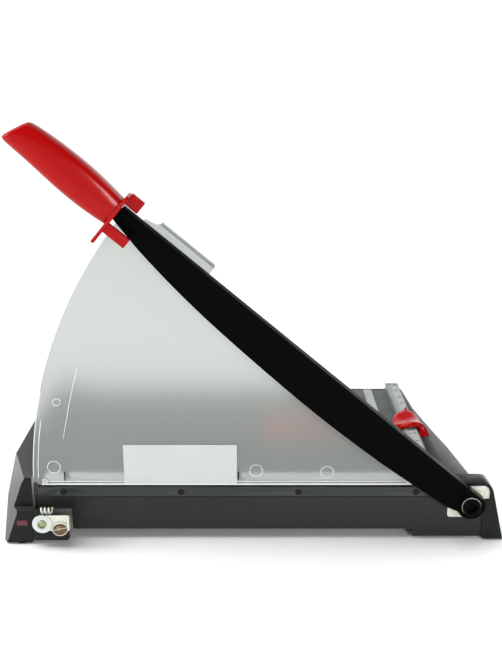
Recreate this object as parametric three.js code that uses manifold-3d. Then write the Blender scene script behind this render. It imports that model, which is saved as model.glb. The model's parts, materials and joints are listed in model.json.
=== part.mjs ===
// A lever-arm paper trimmer: a flat bed with a fixed blade along one edge, a bellied blade arm pivoted at the rear
// corner, a clear finger guard that also clamps the sheet, a latch that holds the arm down, and a fence with a stop.
// Millimetres, +Z up. The base frame has Y = 0 on the cutting line, X = 0 at mid length and Z = 0 on the desk.
import * as THREE from "three";
import { mergeVertices } from "three/addons/utils/BufferGeometryUtils.js";
import Module from "manifold-3d";

const wasm = await Module();
wasm.setup();

// ---------------------------------------------------------------- driving dimensions
const HALF_LENGTH = 227.5; // the base is 455 long
const DECK_TOP = 52; // height of the bed above the desk
const BASE_DEPTH = 256; // from the cutting line to the far edge
const GAP = 0.3; // clearance between touching pieces
const FOOT_HEIGHT = 1.5; // the rubber feet lift the end caps off the desk by this much
const DECK_FRONT = -200.2; // ends of the bed along X, where the end caps begin
const DECK_REAR = 166.6;
const PANEL_FRONT = -197.2; // the cutting-side panel ends beside the front cap's toe
const BLADE_THICKNESS = 5;
const BLADE_HEIGHT = 9;
const PANEL_THICKNESS = 3.5;
const CAP_TOP = 61; // the front cap stands above the bed and squares the sheet

const PIVOT = { x: 193.4, z: 41.4 };
const ARM_ANGLE = 40; // degrees above level as the trimmer stands open
const ARM_LENGTH = 401.3; // from the pivot to the shoulder that the handle meets
const ARM_FACE = -15.5; // the arm's outer and inner faces
const ARM_BACK = -3.2;
const ARM_TOP = 10.8; // the straight top edge above the pivot line
const ARM_TAIL = 13; // radius of the arm's rounded end
const KNIFE = { front: -2.9, back: -0.4, proud: 3, start: 32 };
const TANG = { length: 67, low: -1.5, high: 9.5, front: -13, back: -6 };

const GRIP = { start: 404.3, front: -26, back: -1, round: 4 };
const HAND_GUARD = { thickness: 3, high: 23, low: -25, waist: -8 };

const BOLT = { radius: 5, head: 7.8, flange: 9.2, socket: 4.4, end: 11 };
const BRACKET = { front: -0.5, back: 2.7 };

const GUARD = { front: 3, back: 6, bottom: 53, radius: 399, centreX: 199.3, centreZ: 47.5 };
const CLAMP = { low: 53.6, high: 55.6, depth: 24 };
const POSTS = [-171, -14, 143];
const POST_Y = 14;
const BLADE_SCREWS = [-172, -65.8, 40.4, 146.6];

const LATCH = { x: -188.8, z: 25.6, radius: 8.8, plateFront: -18.9, plateBack: -17.3 };
const RAIL = { left: 151.7, right: 166.3, top: 60.2, near: 26, far: 252 };
const STOP = { near: 111, far: 164, left: 147, right: 178, low: 53, high: 68 };

const DECK_SHEET = 3; // thickness of the bed's sheet, its lips and its ribs
const CAP_WALL = 3; // wall of the moulded end caps
const DRIVE = { reach: 0.6, half: 0.4, depth: 1 }; // a screw's cross: share of the head, half width, depth
const BLADE_SCREW = { z: DECK_TOP - BLADE_HEIGHT / 2, seat: 3, head: 2.6, hole: 1.9, shaft: 1.6 };
const KNIFE_SCREW = { z: -2.5, seat: 3.1, head: 2.8, hole: 1.7, shaft: 1.4 }; // below the arm's middle line
const HANDLE_SCREW = { z: 4, seat: 3.3, head: 3, hole: 1.8, shaft: 1.5 };
const RAIL_SCREW = { seat: 3.1, head: 2.8, hole: 1.8, shaft: 1.5 };
const GUARD_SCREW = { z: 57.4, head: 2.8, hole: 1.7, shaft: 1.4 };
const BRACKET_SCREW = { head: 2.2, hole: 1.7, shaft: 1.4 };

const ORIGIN_Y = (BASE_DEPTH + GRIP.front) / 2; // the whole trimmer's middle along Y
const ROUND = 32; // sides of the larger round pieces
const SMALL = 16; // sides of screws and pins

// ---------------------------------------------------------------- solids
function solidOf(geometry) {
  const bare = geometry.clone();
  bare.deleteAttribute("normal");
  bare.deleteAttribute("uv");
  const merged = mergeVertices(bare, 1e-4);
  return new wasm.Manifold(
    new wasm.Mesh({
      numProp: 3,
      vertProperties: merged.attributes.position.array,
      triVerts: new Uint32Array(merged.index.array),
    }),
  );
}

function geometryOf(solid) {
  const mesh = solid.getMesh();
  const geometry = new THREE.BufferGeometry();
  geometry.setAttribute("position", new THREE.BufferAttribute(mesh.vertProperties, 3));
  geometry.setIndex(new THREE.BufferAttribute(mesh.triVerts, 1));
  geometry.computeVertexNormals();
  return geometry;
}

const join = (first, ...rest) => rest.reduce((whole, piece) => whole.add(piece), first);
const cut = (first, ...rest) => rest.reduce((whole, piece) => whole.subtract(piece), first);

function box(x0, x1, y0, y1, z0, z1) {
  const geometry = new THREE.BoxGeometry(x1 - x0, y1 - y0, z1 - z0);
  return solidOf(geometry.translate((x0 + x1) / 2, (y0 + y1) / 2, (z0 + z1) / 2));
}

function cylinderY(x, z, radius, y0, y1, sides = SMALL) {
  const geometry = new THREE.CylinderGeometry(radius, radius, y1 - y0, sides);
  return solidOf(geometry.translate(x, (y0 + y1) / 2, z));
}

function cylinderZ(x, y, radius, z0, z1, sides = SMALL) {
  const geometry = new THREE.CylinderGeometry(radius, radius, z1 - z0, sides).rotateX(Math.PI / 2);
  return solidOf(geometry.translate(x, y, (z0 + z1) / 2));
}

function shapeOf(points) {
  if (!Array.isArray(points)) return points;
  return new THREE.Shape(points.map(([a, b]) => new THREE.Vector2(a, b)));
}

// A prism of an outline drawn in X and Z, running from y0 to y1. A bevel rounds its long edges inside the outline.
function prismY(outline, y0, y1, bevel = 0, curveSegments = 10) {
  const geometry = new THREE.ExtrudeGeometry(shapeOf(outline), {
    depth: y1 - y0 - 2 * bevel,
    bevelEnabled: bevel > 0,
    bevelSize: bevel,
    bevelThickness: bevel,
    bevelOffset: -bevel,
    bevelSegments: 3,
    curveSegments,
  });
  return solidOf(geometry.rotateX(Math.PI / 2).translate(0, y1 - bevel, 0));
}

// A prism of an outline drawn in X and Y, standing from z0 to z1.
function prismZ(outline, z0, z1) {
  const geometry = new THREE.ExtrudeGeometry(shapeOf(outline), { depth: z1 - z0, bevelEnabled: false });
  return solidOf(geometry.translate(0, 0, z0));
}

// A prism of an outline drawn in Y and Z, running from x0 to x1.
function prismX(outline, x0, x1) {
  const geometry = new THREE.ExtrudeGeometry(shapeOf(outline), { depth: x1 - x0, bevelEnabled: false });
  const turn = new THREE.Matrix4().set(0, 0, 1, x0, 1, 0, 0, 0, 0, 1, 0, 0, 0, 0, 0, 1);
  return solidOf(geometry.applyMatrix4(turn));
}

// Everything of a solid that lies beyond a plane is cut away.
function trimAtPlane(solid, point, outward) {
  const size = 600;
  const away = outward.clone().normalize();
  const geometry = new THREE.BoxGeometry(size, size, size).translate(0, 0, size / 2);
  geometry.applyQuaternion(new THREE.Quaternion().setFromUnitVectors(new THREE.Vector3(0, 0, 1), away));
  return cut(solid, solidOf(geometry.translate(point.x, point.y, point.z)));
}

// A pan-head screw along Y: its head at the low end of Y, its shaft running to `end`.
function screwY(x, z, headRadius, headFront, headBack, shaftRadius, end) {
  const head = cylinderY(x, z, headRadius, headFront, headBack);
  const reach = headRadius * DRIVE.reach;
  const above = headFront - DRIVE.depth;
  const bottom = headFront + DRIVE.half;
  const slot = box(x - reach, x + reach, above, bottom, z - DRIVE.half, z + DRIVE.half);
  const cross = box(x - DRIVE.half, x + DRIVE.half, above, bottom, z - reach, z + reach);
  return join(cut(head, slot, cross), cylinderY(x, z, shaftRadius, headBack - 0.1, end));
}

// ---------------------------------------------------------------- materials and nodes
const FINISHES = {
  deck: { color: 0x6c706f, metalness: 0.2, roughness: 0.55 },
  casing: { color: 0x34373a, metalness: 0.0, roughness: 0.5 },
  blade: { color: 0x3e4446, metalness: 0.8, roughness: 0.35 },
  arm: { color: 0x151516, metalness: 0.3, roughness: 0.4 },
  steel: { color: 0xb8bbb8, metalness: 1.0, roughness: 0.3 },
  zinc: { color: 0xd8dccd, metalness: 0.5, roughness: 0.45 },
  chrome: { color: 0xe2e8e4, metalness: 1.0, roughness: 0.15 },
  blackSteel: { color: 0x1c1d1f, metalness: 0.6, roughness: 0.4 },
  brass: { color: 0xb09a58, metalness: 1.0, roughness: 0.35 },
  red: { color: 0xbe0c0e, metalness: 0.0, roughness: 0.25 },
  clear: { color: 0xc8cdcb, metalness: 0.0, roughness: 0.35, transparent: true, opacity: 0.5 },
  white: { color: 0xd6dcd8, metalness: 0.0, roughness: 0.6 },
  aluminium: { color: 0x9aa09e, metalness: 0.9, roughness: 0.35 },
  rubber: { color: 0x202020, metalness: 0.0, roughness: 0.9 },
};

function node(group, name, finish, solid) {
  const mesh = new THREE.Mesh(geometryOf(solid), new THREE.MeshStandardMaterial(FINISHES[finish]));
  mesh.name = name;
  group.add(mesh);
}

// ---------------------------------------------------------------- base: bed and panels
const LIP_LOW = 36; // lower edges of the bed's lips and ribs
const RIB_LOW = 40;
const RIBS = [88, 168];

function tableDeck() {
  const near = BLADE_THICKNESS + GAP;
  const far = BASE_DEPTH - PANEL_THICKNESS - GAP;
  const underside = DECK_TOP - DECK_SHEET;
  const lap = underside + 0.1;
  const plate = box(DECK_FRONT, DECK_REAR, near, far, underside, DECK_TOP);
  const nearLip = box(DECK_FRONT, DECK_REAR, near, near + DECK_SHEET, LIP_LOW, lap);
  const farLip = box(DECK_FRONT, DECK_REAR, far - DECK_SHEET, far, LIP_LOW, lap);
  const ribs = RIBS.map((y) => box(DECK_FRONT + 6, DECK_REAR - 24, y, y + DECK_SHEET, RIB_LOW, lap));
  const holes = BLADE_SCREWS.map((x) => cylinderY(x, BLADE_SCREW.z, BLADE_SCREW.hole, near - 1, near + 4));
  return cut(join(plate, nearLip, farLip, ...ribs), ...holes);
}

function cuttingSidePanel() {
  const top = DECK_TOP - BLADE_HEIGHT - 0.4;
  const outline = [
    [PANEL_FRONT, 10],
    [145, 10],
    [145, 2.6],
    [208.6, 2.6],
    [208.6, 37.5],
    [198.3, 22.3],
    [175.6, 22.3],
    [175.6, top],
    [PANEL_FRONT, top],
  ];
  const sheet = prismY(outline, GAP, GAP + PANEL_THICKNESS);
  const flange = box(PANEL_FRONT + 2, 143, GAP + PANEL_THICKNESS - 0.5, 14, 11, 13);
  const latchRecess = box(-200, -162, -1, GAP + 2, 31, top + 1);
  return cut(join(sheet, flange), latchRecess);
}

function farSidePanel() {
  return box(DECK_FRONT, DECK_REAR, BASE_DEPTH - PANEL_THICKNESS, BASE_DEPTH, 8, DECK_TOP);
}

function fixedBlade() {
  const bar = box(-195, 165, 0, BLADE_THICKNESS, DECK_TOP - BLADE_HEIGHT, DECK_TOP);
  const { z, seat, hole } = BLADE_SCREW;
  const seats = BLADE_SCREWS.map((x) => cylinderY(x, z, seat, -1, 2.5));
  const holes = BLADE_SCREWS.map((x) => cylinderY(x, z, hole, 2, BLADE_THICKNESS + 1));
  return cut(bar, ...seats, ...holes);
}

// ---------------------------------------------------------------- base: end caps
// Two leaning facets that meet at the near top corner slice the front cap's near end.
const FACET_POINT = new THREE.Vector3(-205, -5, 61);
const FACETS_OUTWARD = [new THREE.Vector3(-0.828, -0.473, 0.303), new THREE.Vector3(-0.83, -0.3, 0.47)];

function frontEndCap() {
  const inner = DECK_FRONT - GAP;
  const outer = -HALF_LENGTH;
  const body = prismZ(
    [
      [inner, GAP],
      [inner, BASE_DEPTH],
      [outer + 6, BASE_DEPTH],
      [outer + 1, BASE_DEPTH - 5],
      [outer, GAP],
    ],
    FOOT_HEIGHT,
    CAP_TOP,
  );
  const toe = prismY(
    [
      [outer, 5],
      [outer + 4, FOOT_HEIGHT],
      [-202, FOOT_HEIGHT],
      [-197.6, 8],
      [-197.6, 31],
      [-200, 33],
      [outer, 33],
    ],
    -10,
    1,
  );
  const hollow = prismZ(
    [
      [inner - CAP_WALL, 5],
      [inner - CAP_WALL, 234],
      [outer + CAP_WALL, 234],
      [outer + CAP_WALL, 5],
    ],
    -1,
    CAP_TOP - CAP_WALL,
  );
  let outside = join(body, toe);
  let inside = hollow;
  for (const outward of FACETS_OUTWARD) {
    outside = trimAtPlane(outside, FACET_POINT, outward);
    inside = trimAtPlane(inside, FACET_POINT.clone().addScaledVector(outward, -CAP_WALL), outward);
  }
  return cut(outside, inside);
}

function rearEndCap() {
  const inner = DECK_REAR + GAP;
  const top = DECK_TOP;
  const wing = prismZ(
    [
      [inner, 16.8],
      [201, 16.8],
      [199.5, 32],
      [196, 57],
      [192, 89],
      [185, 128],
      [175, 194],
      [171, BASE_DEPTH],
      [inner, BASE_DEPTH],
    ],
    FOOT_HEIGHT,
    top,
  );
  const hollow = prismZ(
    [
      [inner + CAP_WALL, 20],
      [197, 20],
      [193, 57],
      [189, 89],
      [182, 128],
      [175.5, 170],
      [inner + CAP_WALL, 170],
    ],
    -1,
    top - CAP_WALL,
  );
  const farBoss = box(148, inner + 1, 234, BASE_DEPTH - PANEL_THICKNESS - 3.6, FOOT_HEIGHT, 35);
  const cheek = box(inner, 183.5, 5, 17, 43.5, top);
  const hoodOutline = new THREE.Shape();
  hoodOutline.moveTo(209, FOOT_HEIGHT);
  hoodOutline.lineTo(HALF_LENGTH, FOOT_HEIGHT);
  hoodOutline.lineTo(222.8, 22);
  hoodOutline.lineTo(216.4, 48);
  hoodOutline.quadraticCurveTo(214, 57.5, 206, 57.5);
  hoodOutline.lineTo(183, 57.5);
  hoodOutline.lineTo(183, 54.6);
  hoodOutline.lineTo(209, 54.6);
  const hood = prismY(hoodOutline, -2.6, 16.9);
  const hoodBack = box(183, 210, 14, 17.2, 30, 57);
  const window = prismY(
    [
      [204, 40.6],
      [214.2, 40.6],
      [213.6, 48.8],
      [211.6, 52.4],
      [208, 54.6],
      [204, 54.6],
    ],
    -4,
    3.2,
  );
  return cut(join(wing, farBoss, cheek, hoodBack, hood), hollow, window);
}

// ---------------------------------------------------------------- base: fence, scales and feet
function fenceRail() {
  const low = DECK_TOP + GAP;
  const groove = 1.2;
  const profile = [
    [RAIL.left, low],
    [RAIL.right, low],
    [RAIL.right, low + 2.7],
    [RAIL.right - groove, low + 2.7],
    [RAIL.right - groove, low + 4.5],
    [RAIL.right, low + 4.5],
    [RAIL.right, RAIL.top],
    [RAIL.left, RAIL.top],
    [RAIL.left, low + 4.5],
    [RAIL.left + groove, low + 4.5],
    [RAIL.left + groove, low + 2.7],
    [RAIL.left, low + 2.7],
  ];
  const bar = prismY(profile, RAIL.near, RAIL.far);
  const middle = (RAIL.left + RAIL.right) / 2;
  const seats = railScrewPlaces().map((y) => cylinderZ(middle, y, RAIL_SCREW.seat, 58.1, 62));
  const holes = railScrewPlaces().map((y) => cylinderZ(middle, y, RAIL_SCREW.hole, 50, 59));
  return cut(bar, ...seats, ...holes);
}

const railScrewPlaces = () => [RAIL.near + 6, RAIL.far - 6];

function railScrew(y) {
  const middle = (RAIL.left + RAIL.right) / 2;
  const head = cylinderZ(middle, y, RAIL_SCREW.head, 58.4, RAIL.top - 0.2);
  const slot = box(middle - 2, middle + 2, y - 0.4, y + 0.4, RAIL.top - 0.7, RAIL.top + 1);
  return join(cut(head, slot), cylinderZ(middle, y, RAIL_SCREW.shaft, DECK_TOP + GAP, 58.5));
}

const fenceScale = () => box(RAIL.left + 2, RAIL.right - 1.4, RAIL.near + 12, RAIL.far - 12, 60.5, 60.9);
const deckScale = () => box(126.6, 136, 30, 251, DECK_TOP + GAP, DECK_TOP + 0.7);

const FEET = [
  [-211, -3.2],
  [-211, 245],
  [217.6, 6.5],
  [158, 241],
];

const rubberFoot = ([x, y]) => cylinderZ(x, y, 6, 0, FOOT_HEIGHT - GAP, 24);

function guardPost(x) {
  const pin = cylinderZ(x, POST_Y, 2, DECK_TOP + GAP, 61.2);
  return join(pin, cylinderZ(x, POST_Y, 3.2, 61, 62.6));
}

// ---------------------------------------------------------------- base: pivot
const BRACKET_SCREWS = [
  [184, 46],
  [203.9, 42.4],
];

function pivotBracket() {
  const outline = new THREE.Shape();
  outline.moveTo(178.5, 22.8);
  outline.lineTo(198, 22.8);
  outline.lineTo(208.2, 38);
  outline.lineTo(208.2, 41);
  outline.lineTo(213.2, 41);
  outline.lineTo(213.2, 47);
  outline.quadraticCurveTo(213.2, 53.8, 206.5, 53.8);
  outline.lineTo(188, 53.8);
  outline.lineTo(176, 44);
  outline.lineTo(176, 25.3);
  outline.quadraticCurveTo(176, 22.8, 178.5, 22.8);
  const plate = prismY(outline, BRACKET.front, BRACKET.back);
  const bore = cylinderY(PIVOT.x, PIVOT.z, BOLT.radius + GAP, -2, 4, ROUND);
  const holes = BRACKET_SCREWS.map(([x, z]) => cylinderY(x, z, BRACKET_SCREW.hole, -2, 4));
  return cut(plate, bore, ...holes);
}

function pivotBolt() {
  const flange = cylinderY(PIVOT.x, PIVOT.z, BOLT.flange, -20, -18.1, ROUND);
  const head = cylinderY(PIVOT.x, PIVOT.z, BOLT.head, -22, -19.9, ROUND);
  const shaft = cylinderY(PIVOT.x, PIVOT.z, BOLT.radius, -18.2, BOLT.end, ROUND);
  const socket = cylinderY(PIVOT.x, PIVOT.z, BOLT.socket, -23, -19, 6);
  return cut(join(flange, head, shaft), socket);
}

function ring(outerRadius, innerRadius, y0, y1, sides = ROUND) {
  const outer = cylinderY(PIVOT.x, PIVOT.z, outerRadius, y0, y1, sides);
  return cut(outer, cylinderY(PIVOT.x, PIVOT.z, innerRadius, y0 - 1, y1 + 1, ROUND));
}

// ---------------------------------------------------------------- base: latch housing, screw and spring
function latchHousing() {
  const outline = [
    [-196.9, 7.8],
    [-167.4, 7.8],
    [-165.4, 9.8],
    [-165.4, 30.7],
    [-196.9, 30.7],
  ];
  const block = prismY(outline, -16.9, 0);
  return cut(block, cylinderY(LATCH.x, LATCH.z, 3.1, -18, -6));
}

function latchScrew() {
  const head = cylinderY(LATCH.x, LATCH.z, 4.2, -21.8, -20.4, 24);
  const shaft = cylinderY(LATCH.x, LATCH.z, 2.8, -20.5, -7);
  return cut(join(head, shaft), cylinderY(LATCH.x, LATCH.z, 2.3, -23, -20.8, 6));
}

class Coil extends THREE.Curve {
  getPoint(t, target = new THREE.Vector3()) {
    const turns = 4.5;
    const angle = t * turns * 2 * Math.PI;
    const radius = 2.9;
    return target.set(-192 + 12.5 * t, -12.2 + radius * Math.cos(angle), 34.9 + radius * Math.sin(angle));
  }
}

function latchSpring() {
  const section = new THREE.Shape().absarc(0, 0, 0.55, 0, 2 * Math.PI);
  const options = { steps: 54, extrudePath: new Coil(), curveSegments: 3, bevelEnabled: false };
  return solidOf(new THREE.ExtrudeGeometry(section, options));
}

// ---------------------------------------------------------------- arm, drawn level with the pivot at 0, 0
// The lower edge bellies down between the pivot and the handle, so the blades meet at one point all along the cut.
function lowerEdge(drop) {
  return [
    [-15, -14.6 - drop],
    [-50, -18 - drop],
    [-99, -21.4 - drop],
    [-160, -22.8 - drop],
    [-230, -21 - drop],
    [-300, -16.8 - drop],
    [-360, -9.4 - drop],
    [-ARM_LENGTH, -1 - drop],
  ].map(([x, z]) => new THREE.Vector2(x, z));
}

const KNIFE_SCREWS = [-70, -160, -250, -340];
const HANDLE_SCREWS = [-425, -455];

function armBar() {
  const outline = new THREE.Shape();
  outline.moveTo(0, ARM_TOP);
  outline.lineTo(-ARM_LENGTH, ARM_TOP + 1.2);
  outline.lineTo(-ARM_LENGTH, -1);
  outline.splineThru(lowerEdge(0).reverse().slice(1));
  outline.absarc(0, 0, ARM_TAIL, -2, Math.asin(ARM_TOP / ARM_TAIL), false);
  const bar = prismY(outline, ARM_FACE, ARM_BACK, 0, 5);
  const tang = box(-ARM_LENGTH - TANG.length, -ARM_LENGTH + 1, TANG.front, TANG.back, TANG.low, TANG.high);
  const bore = cylinderY(0, 0, 7.3, -20, 0, ROUND);
  const knifeHoles = KNIFE_SCREWS.map((x) => cylinderY(x, KNIFE_SCREW.z, KNIFE_SCREW.hole, -9, -1));
  const handleHoles = HANDLE_SCREWS.map((x) => cylinderY(x, HANDLE_SCREW.z, HANDLE_SCREW.hole, -14, -5));
  return cut(join(bar, tang), bore, ...knifeHoles, ...handleHoles);
}

function knife() {
  const outline = new THREE.Shape();
  outline.moveTo(-KNIFE.start, 2);
  outline.lineTo(-ARM_LENGTH + 2, 4);
  outline.lineTo(-ARM_LENGTH + 2, -1 - KNIFE.proud);
  outline.splineThru(lowerEdge(KNIFE.proud).reverse().slice(1, -1));
  outline.lineTo(-KNIFE.start, -16.5 - KNIFE.proud);
  const plate = prismY(outline, KNIFE.front, KNIFE.back, 0, 5);
  const seats = KNIFE_SCREWS.map((x) => cylinderY(x, KNIFE_SCREW.z, KNIFE_SCREW.seat, -1.9, 0));
  const holes = KNIFE_SCREWS.map((x) => cylinderY(x, KNIFE_SCREW.z, KNIFE_SCREW.hole, -4, 0));
  return cut(plate, ...seats, ...holes);
}

function knifeScrew(x) {
  const { z } = KNIFE_SCREW;
  const head = cylinderY(x, z, KNIFE_SCREW.head, -1.7, -0.6);
  const slot = box(x - 1.8, x + 1.8, -1.1, 0, z - DRIVE.half, z + DRIVE.half);
  return join(cut(head, slot), cylinderY(x, z, KNIFE_SCREW.shaft, -8.5, -1.6));
}

function handleGrip() {
  const outline = new THREE.Shape();
  outline.moveTo(-GRIP.start, -8.5);
  outline.quadraticCurveTo(-448, -11.4, -478, -7.2);
  outline.lineTo(-507, -7);
  outline.lineTo(-509, -3);
  outline.lineTo(-502, 16.5);
  outline.lineTo(-494, 18.2);
  outline.quadraticCurveTo(-452, 24, -GRIP.start, 16.6);
  const body = prismY(outline, GRIP.front, GRIP.back, GRIP.round, 6);
  const shoulder = -ARM_LENGTH - GAP;
  const flange = prismX(
    [
      [GRIP.front, HAND_GUARD.waist],
      [-24.5, HAND_GUARD.waist],
      [-24.5, HAND_GUARD.low],
      [-12, HAND_GUARD.low],
      [-12, HAND_GUARD.waist],
      [GRIP.back, HAND_GUARD.waist],
      [GRIP.back, HAND_GUARD.high],
      [GRIP.front, HAND_GUARD.high],
    ],
    shoulder - HAND_GUARD.thickness,
    shoulder,
  );
  const lowerCatch = box(shoulder - 0.5, -380.5, -24.5, -19.8, -12.6, -3.6);
  const upperTab = box(shoulder - 0.5, -389, -10, -5, 13.6, 25);
  const neck = box(-412, shoulder - 1, -24, -3, -5, 14);
  const socket = box(-ARM_LENGTH - TANG.length - GAP, -400, TANG.front - GAP, TANG.back + GAP, -1.8, 9.8);
  const seats = HANDLE_SCREWS.map((x) => cylinderY(x, HANDLE_SCREW.z, HANDLE_SCREW.seat, -3.2, 0));
  const holes = HANDLE_SCREWS.map((x) => cylinderY(x, HANDLE_SCREW.z, HANDLE_SCREW.hole, -8, 0));
  return cut(join(body, neck, flange, lowerCatch, upperTab), socket, ...seats, ...holes);
}

function handleScrew(x) {
  const { z } = HANDLE_SCREW;
  const head = cylinderY(x, z, HANDLE_SCREW.head, -2.9, -1.4);
  const slot = box(x - 2, x + 2, -1.9, 0, z - DRIVE.half, z + DRIVE.half);
  return join(cut(head, slot), cylinderY(x, z, HANDLE_SCREW.shaft, -12.7, -2.8));
}

function pivotBush() {
  const sleeve = cylinderY(0, 0, 7, ARM_FACE + GAP, ARM_BACK - GAP, ROUND);
  return cut(sleeve, cylinderY(0, 0, BOLT.radius + GAP, -20, 0, ROUND));
}

// ---------------------------------------------------------------- guard
// A point beside the raised arm: `along` from the pivot towards the handle, `above` the arm's middle line.
function besideArm(along, above) {
  const a = THREE.MathUtils.degToRad(ARM_ANGLE);
  const x = PIVOT.x - along * Math.cos(a) + above * Math.sin(a);
  return [x, PIVOT.z + along * Math.sin(a) + above * Math.cos(a)];
}

const GUARD_SCREWS = [-188.5, 140];

function guardPlate() {
  const top = besideArm(400.5, 2);
  const angleOf = ([x, z]) => Math.atan2(z - GUARD.centreZ, x - GUARD.centreX);
  const outline = new THREE.Shape();
  outline.moveTo(-193.5, GUARD.bottom);
  outline.lineTo(150, GUARD.bottom);
  outline.lineTo(...besideArm(40, 2));
  outline.lineTo(...besideArm(310.5, 2));
  outline.lineTo(...besideArm(310.5, 18.3));
  outline.lineTo(...besideArm(368, 18.3));
  outline.lineTo(...besideArm(371, 14.2));
  outline.lineTo(...besideArm(381, 12.2));
  outline.lineTo(...besideArm(383, 2));
  outline.absarc(GUARD.centreX, GUARD.centreZ, GUARD.radius, angleOf(top), angleOf([-198, 57.5]), false);
  const sheet = prismY(outline, GUARD.front, GUARD.back, 0, 16);
  const lip = prismY(
    [besideArm(311, 15.9), besideArm(311, 18.3), besideArm(368, 18.3), besideArm(368, 15.9)],
    GUARD.back - 0.1,
    11,
  );
  const holes = GUARD_SCREWS.map((x) => cylinderY(x, GUARD_SCREW.z, GUARD_SCREW.hole, 0, 8));
  return cut(join(sheet, lip), ...holes);
}

function clampFoot() {
  const bar = box(-192, 148.5, GUARD.back + GAP, CLAMP.depth, CLAMP.low, CLAMP.high);
  return cut(bar, ...POSTS.map((x) => cylinderZ(x, POST_Y, 2.4, 50, 60)));
}

const clampPad = () => box(-188, 146, 17.5, 22.5, DECK_TOP + 0.4, CLAMP.low - GAP);
const guardLabel = () => box(-117, -15.3, GUARD.front - 0.8, GUARD.front - GAP, 54.8, 92.5);

// ---------------------------------------------------------------- latch and paper stop
function latchPlate() {
  const outline = new THREE.Shape();
  outline.moveTo(LATCH.x, LATCH.z + 7.4);
  outline.lineTo(-166, 33.6);
  outline.lineTo(-163.9, 31.8);
  outline.lineTo(-163.9, 20.4);
  outline.lineTo(-181.6, 18.2);
  outline.lineTo(LATCH.x, LATCH.z - 7.4);
  outline.absarc(LATCH.x, LATCH.z, 7.4, -Math.PI / 2, Math.PI / 2, true);
  const plate = prismY(outline, LATCH.plateFront, LATCH.plateBack, 0, 8);
  const lip = box(-165.5, -163.9, -23.8, LATCH.plateBack, 20.6, 31.6);
  const thumb = box(-179.5, -167, -23.8, LATCH.plateBack, 16.6, 19.4);
  return cut(join(plate, lip, thumb), cylinderY(LATCH.x, LATCH.z, 3.2, -30, 0));
}

function latchWasher() {
  const disc = cylinderY(LATCH.x, LATCH.z, LATCH.radius, -20.1, -19.2, ROUND);
  return cut(disc, cylinderY(LATCH.x, LATCH.z, 3.2, -30, 0));
}

function paperStop() {
  const clear = { left: RAIL.left - 0.5, right: RAIL.right + 0.5, top: RAIL.top + 2.2 };
  const outline = new THREE.Shape();
  outline.moveTo(STOP.left, STOP.low);
  outline.lineTo(clear.left, STOP.low);
  outline.lineTo(clear.left, clear.top);
  outline.lineTo(clear.right, clear.top);
  outline.lineTo(clear.right, STOP.low);
  outline.lineTo(STOP.right, STOP.low);
  outline.lineTo(STOP.right, STOP.low + 5);
  outline.quadraticCurveTo(STOP.right - 3, STOP.high, 162, STOP.high);
  outline.quadraticCurveTo(STOP.left + 3, STOP.high, STOP.left, STOP.low + 7);
  return prismY(outline, STOP.near, STOP.far, 0, 5);
}

const paperStopPad = () => box(153, 165, STOP.near + 19, STOP.far - 18, 61.2, 62.1);

// ---------------------------------------------------------------- the assembly
function buildBase() {
  const base = new THREE.Group();
  node(base, "table_deck", "deck", tableDeck());
  node(base, "cutting_side_panel", "casing", cuttingSidePanel());
  node(base, "far_side_panel", "casing", farSidePanel());
  node(base, "fixed_blade", "blade", fixedBlade());
  BLADE_SCREWS.forEach((x, i) => {
    const screw = screwY(x, BLADE_SCREW.z, BLADE_SCREW.head, 0.4, 2.2, BLADE_SCREW.shaft, 8);
    node(base, `fixed_blade_screw_${i + 1}`, "blackSteel", screw);
  });
  node(base, "front_end_cap", "casing", frontEndCap());
  node(base, "rear_end_cap", "casing", rearEndCap());
  node(base, "fence_rail", "aluminium", fenceRail());
  node(base, "fence_scale", "white", fenceScale());
  railScrewPlaces().forEach((y, i) => node(base, `fence_rail_screw_${i + 1}`, "steel", railScrew(y)));
  node(base, "deck_scale", "white", deckScale());
  FEET.forEach((place, i) => node(base, `rubber_foot_${i + 1}`, "rubber", rubberFoot(place)));
  POSTS.forEach((x, i) => node(base, `guard_post_${i + 1}`, "blackSteel", guardPost(x)));
  return base;
}

function buildPivot() {
  const pivot = new THREE.Group();
  node(pivot, "pivot_bracket", "zinc", pivotBracket());
  BRACKET_SCREWS.forEach(([x, z], i) => {
    const screw = screwY(x, z, BRACKET_SCREW.head, -2.3, -0.8, BRACKET_SCREW.shaft, 3.9);
    node(pivot, `bracket_screw_${i + 1}`, "steel", screw);
  });
  node(pivot, "pivot_bolt", "blackSteel", pivotBolt());
  node(pivot, "spring_washer", "steel", ring(8.6, BOLT.radius + GAP, -17.8, -15.8));
  node(pivot, "thrust_washer", "brass", ring(8, BOLT.radius + GAP, -2.9, -0.8));
  node(pivot, "pivot_nut", "steel", ring(8.5, BOLT.radius + 0.1, 3, 9.5, 6));
  return pivot;
}

function buildLatchMount() {
  const mount = new THREE.Group();
  node(mount, "latch_housing", "casing", latchHousing());
  node(mount, "latch_screw", "brass", latchScrew());
  node(mount, "latch_spring", "steel", latchSpring());
  return mount;
}

function buildArm() {
  const arm = new THREE.Group();
  node(arm, "arm_bar", "arm", armBar());
  node(arm, "knife", "steel", knife());
  KNIFE_SCREWS.forEach((x, i) => node(arm, `knife_screw_${i + 1}`, "blackSteel", knifeScrew(x)));
  node(arm, "pivot_bush", "brass", pivotBush());
  node(arm, "handle_grip", "red", handleGrip());
  HANDLE_SCREWS.forEach((x, i) => node(arm, `handle_screw_${i + 1}`, "steel", handleScrew(x)));
  arm.position.set(PIVOT.x, 0, PIVOT.z);
  arm.rotation.y = THREE.MathUtils.degToRad(ARM_ANGLE);
  return arm;
}

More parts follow.
